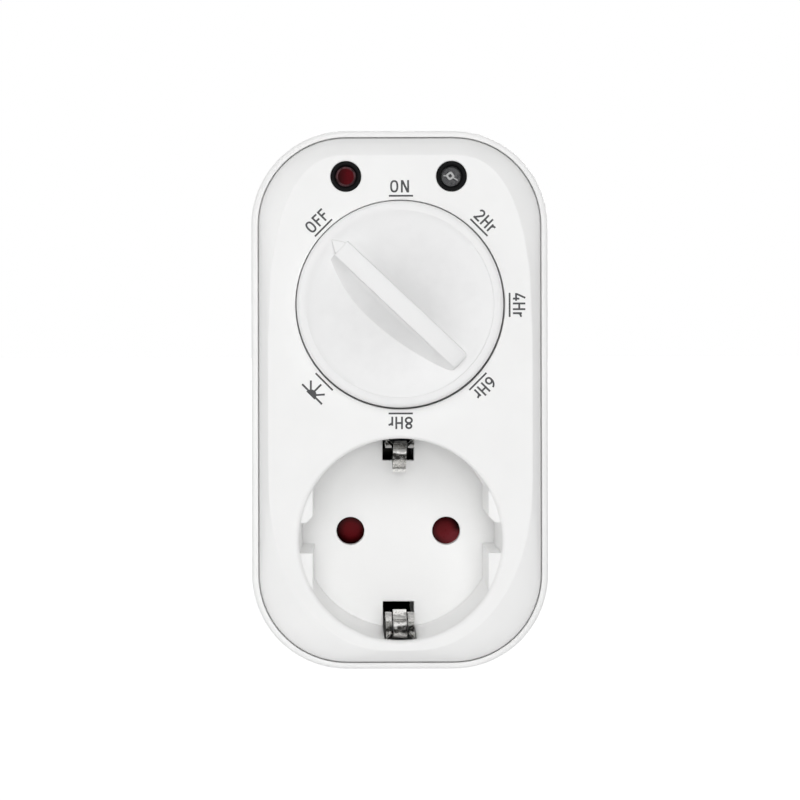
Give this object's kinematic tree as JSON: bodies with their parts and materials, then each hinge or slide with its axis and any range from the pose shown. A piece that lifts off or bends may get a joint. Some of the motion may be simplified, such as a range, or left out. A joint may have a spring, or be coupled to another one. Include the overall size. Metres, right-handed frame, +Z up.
{
  "type": "plug-in timer switch",
  "caption": "Plug-in socket timer with a rotary dial for off, on, fixed run times and dusk switching, an earthed socket in front and an earthed round-pin plug behind.",
  "frame": {"origin": "centre of the plug's face, midway between its two pins, where it seats in a wall socket", "axes": "+Z up, -Y out of the front face towards the user, +Y along the plug pins into the wall, +X to the user's right"},
  "size_m": [0.057, 0.0815, 0.1035],
  "materials": {
    "white_shell": "satin white ABS with a very fine texture",
    "white_knob": "satin white ABS",
    "white_inner": "natural white polyamide",
    "red_shutter": "dark red polyamide",
    "black_plastic": "matt black",
    "red_lens": "dark red clear epoxy",
    "clear_lens": "clear epoxy",
    "nickel": "nickel-plated, lightly brushed",
    "brass": "plain stamped brass",
    "steel": "zinc-plated steel",
    "board": "green solder mask",
    "relay_case": "blue relay case",
    "film_case": "yellow film capacitor case",
    "can_sleeve": "dark shrink sleeve with a bare top",
    "fuse_case": "brown phenolic",
    "disc_coat": "blue epoxy coating",
    "resistor_coat": "tan lacquer with colour bands",
    "wire_live": "brown PVC",
    "wire_switched": "black PVC",
    "wire_neutral": "blue PVC"
  },
  "bodies": {
    "case": {"front_cover": "white_shell", "rear_housing": "white_shell", "switch_body": "black_plastic", "main_board": "board", "relay": "relay_case", "dropper_capacitor": "film_case", "smoothing_capacitor": "can_sleeve", "filter_capacitor": "can_sleeve", "fuse": "fuse_case", "varistor": "disc_coat", "board_resistors": "resistor_coat", "rectifier_diodes": "black_plastic", "timer_chip": "black_plastic", "indicator_led": "red_lens", "led_sleeve": "black_plastic", "light_sensor": "clear_lens", "sensor_sleeve": "black_plastic", "live_contact": "brass", "neutral_contact": "brass", "contact_carrier": "white_inner", "earth_bracket": "nickel", "earth_spacer": "steel", "earth_rivet": "steel", "plug_earth_strip": "nickel", "earth_pin_sleeve": "nickel", "plug_pin_live": "nickel", "plug_pin_neutral": "nickel", "live_terminal": "brass", "pin_retainer": "white_inner", "retainer_screw": "steel", "live_wire": "wire_live", "switched_wire": "wire_switched", "neutral_wire": "wire_neutral", "housing_screws": "steel", "board_screws": "steel"},
    "dial": {"knob": "white_knob", "switch_rotor": "black_plastic", "switch_wiper": "brass", "detent_balls": "steel", "detent_spring": "steel"},
    "shutter": {"shutter": "red_shutter", "shutter_spring": "steel"}
  },
  "joints": [
    {"name": "knob_turn", "type": "hinge", "parent": "case", "child": "dial", "pos_m": [0, -0.0515, 0.0448], "axis": [0, 1, 0], "range_deg": [0, 270]},
    {"name": "shutter_turn", "type": "hinge", "parent": "case", "child": "shutter", "pos_m": [0, -0.0359, 0], "axis": [0, 1, 0], "range_deg": [0, 40], "stiffness_Nm_per_rad": 0.002, "springref_deg": -28.65}
  ]
}
